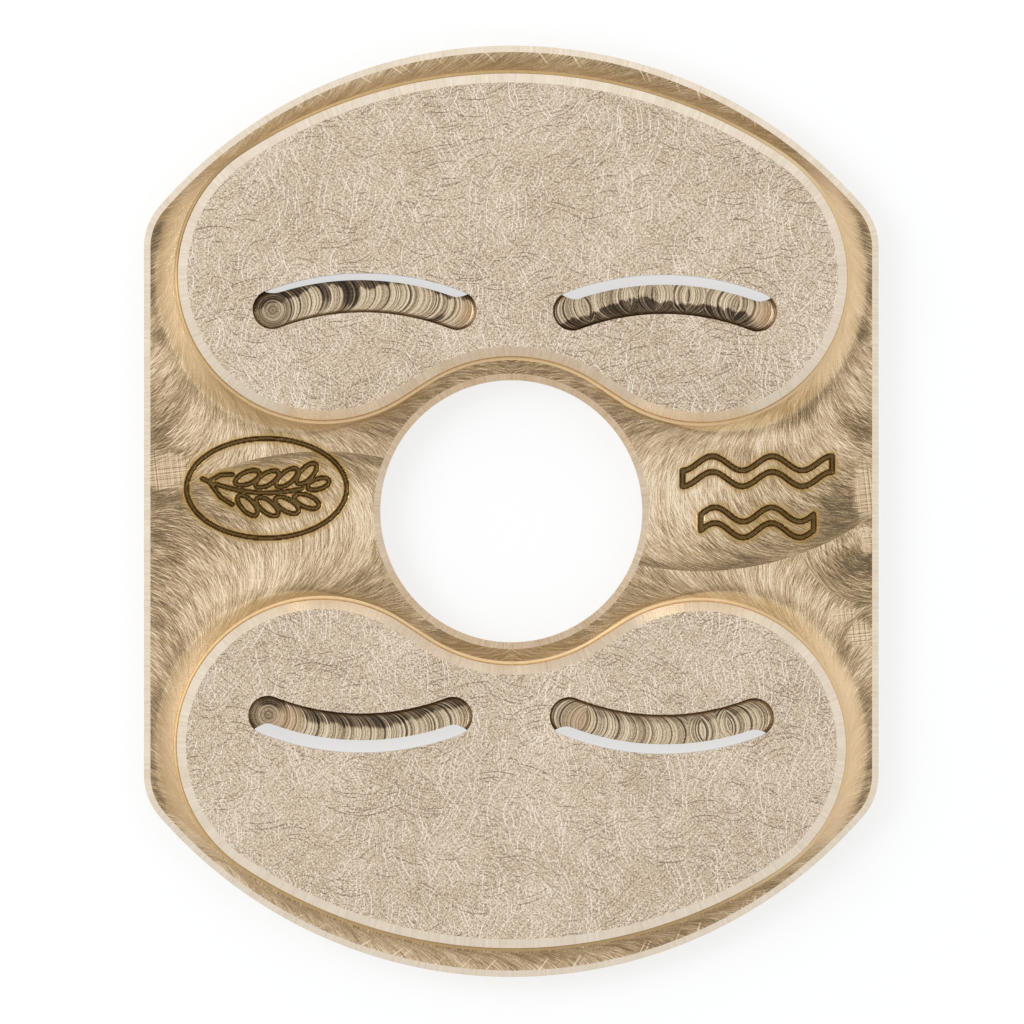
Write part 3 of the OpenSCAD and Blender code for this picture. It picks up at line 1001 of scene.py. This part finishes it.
def dressGroove(name):
    # grooves and slits: rough end-milled metal with cutter arcs, darkened in bands
    material, start, shader = newMaterial(name)
    place, x, y, z = millimetres(start)
    phase, patina, wallReflectionAndSpot = attribute(start, "cutMap")
    lines = (phase * 5.5 + 3.0).streak(2.0, 0.6)
    broad = (phase * 1.6 + 60.0).streak(1.0)
    fine = (phase * 13.0).streak(1.0)
    grain = cloud(place, 7.0, 2.0, 0.7)
    wall = (0.0 - patina).within(0.0, 1.0)
    dark = (patina + (fine - 0.5) * 0.7 + (lines - 0.5) * -0.5 + (grain - 0.5) * 0.8).above(0.28, 0.72)
    level = (0.74 + (lines - 0.5) * 1.75 + (broad - 0.5) * 1.0 + (fine - 0.5) * 1.0
             + (grain - 0.5) * 0.8 - dark * 0.58).within(0.0, 1.0)
    level = wall.pick(level, level * 0.3 + 0.42)
    colour = level.node("ValToRGB", {"stops": [
        (0.0, tone(62, 54, 46)), (0.3, tone(112, 98, 82)), (0.6, tone(178, 156, 128)),
        (0.85, tone(224, 204, 174)), (1.0, tone(248, 232, 204))]}, {0: level})
    # painted warm shade and reflection near the wall's foot, and the smooth spot's peach tone
    colour = (wallReflectionAndSpot.within(0.0, 1.0) * 0.5).mix(colour, tone(150, 120, 84))
    colour = ((0.0 - wallReflectionAndSpot).within(0.0, 1.0) * 0.5).mix(colour, tone(212, 178, 138))
    plug(colour, shader, "Base Color")
    plug(0.5 - level * 0.12 - wall * 0.26, shader, "Roughness")
    bumped(lines + fine * 0.4, shader, 0.00003, 0.35)
    shader.inputs["Metallic"].default_value = 1.0
    return material


def dressBack(name):
    # the back, faced on a lathe: fine rings about the middle
    material, start, shader = newMaterial(name)
    place, x, y, z = millimetres(start)
    radius = (x * x + y * y) ** 0.5
    rings = (radius * 6.0).streak(3.0, 0.6)
    broad = (radius * 0.5).streak(1.0)
    grain = cloud(place, 3.0, 3.0, 0.6)
    level = ((rings - 0.5) * 1.1 + (broad - 0.5) * 0.4 + (grain - 0.5) * 0.4 + 0.55).within(0.0, 1.0)
    plug(level.mix(tone(176, 150, 114), tone(238, 218, 188)), shader, "Base Color")
    plug(0.42 - level * 0.1, shader, "Roughness")
    bumped(rings, shader, 0.00003, 0.35)
    shader.inputs["Metallic"].default_value = 1.0
    return material


dressers = [dressTop, dressFace, dressEdge, dressGroove, dressFoot, dressBack]
for dress, name in zip(dressers, finishNames):
    dieMesh.materials.append(dress(name))
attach(die, "root")
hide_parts("die_plate")
print("body dressed with", len(finishNames), "finishes")

# Table: white to the camera and to the metal, and it keeps the plate's shadow
tableSetup = {"size": 3.0, "drop": 0.00005, "glow": 0.67, "tone": (151, 153, 154)}
corner = tableSetup["size"] / 2
floorMesh = bpy.data.meshes.new("table")
floorMesh.from_pydata([(-corner, -corner, -tableSetup["drop"]), (corner, -corner, -tableSetup["drop"]),
                       (corner, corner, -tableSetup["drop"]), (-corner, corner, -tableSetup["drop"])],
                      [], [(0, 1, 2, 3)])
floor = bpy.data.objects.new("table", floorMesh)
bpy.context.scene.collection.objects.link(floor)
material = bpy.data.materials.new("tableWhite")
material.use_nodes = True
tree = material.node_tree
tree.nodes.clear()
start = Signal(tree)
matt = start.node("BsdfDiffuse", values={"Color": tone(*tableSetup["tone"])})
glow = start.node("Emission", values={"Color": (1.0, 1.0, 1.0, 1.0), "Strength": tableSetup["glow"]})
both = start.node("AddShader", values={0: matt, 1: glow})
output = tree.nodes.new("ShaderNodeOutputMaterial")
tree.links.new(both.socket, output.inputs["Surface"])
floorMesh.materials.append(material)

# Light: a pale room, a little brighter at the back, and two soft lamps on the left and behind
lightSetup = {
    "room": 0.87, "gradient": 0.12,        # how much brighter at the back, darker at the front
    "key": {"place": (-0.44, 0.12, 0.44), "size": 0.36, "power": 1.35},
    "back": {"place": (0.10, 0.62, 0.25), "size": 0.50, "power": 0.1},
}
world = bpy.data.worlds.new("room")
bpy.context.scene.world = world
world.use_nodes = True
background = world.node_tree.nodes["Background"]
background.inputs["Color"].default_value = (1.0, 1.0, 1.0, 1.0)
sky = Signal(world.node_tree)
way = sky.node("TexCoord", out=0)
way = sky.node("SeparateXYZ", values={0: way}, out=1)
strength = way * lightSetup["gradient"] + lightSetup["room"]
world.node_tree.links.new(strength.socket, background.inputs["Strength"])
for name in ("key", "back"):
    setup = lightSetup[name]
    lamp = bpy.data.lights.new(name, "AREA")
    lamp.size = setup["size"]
    lamp.energy = setup["power"]
    holder = bpy.data.objects.new(name, lamp)
    holder.location = setup["place"]
    holder.rotation_euler = (-Vector(setup["place"])).to_track_quat("-Z", "Y").to_euler()
    bpy.context.scene.collection.objects.link(holder)
print("stage: table, room light and two lamps")
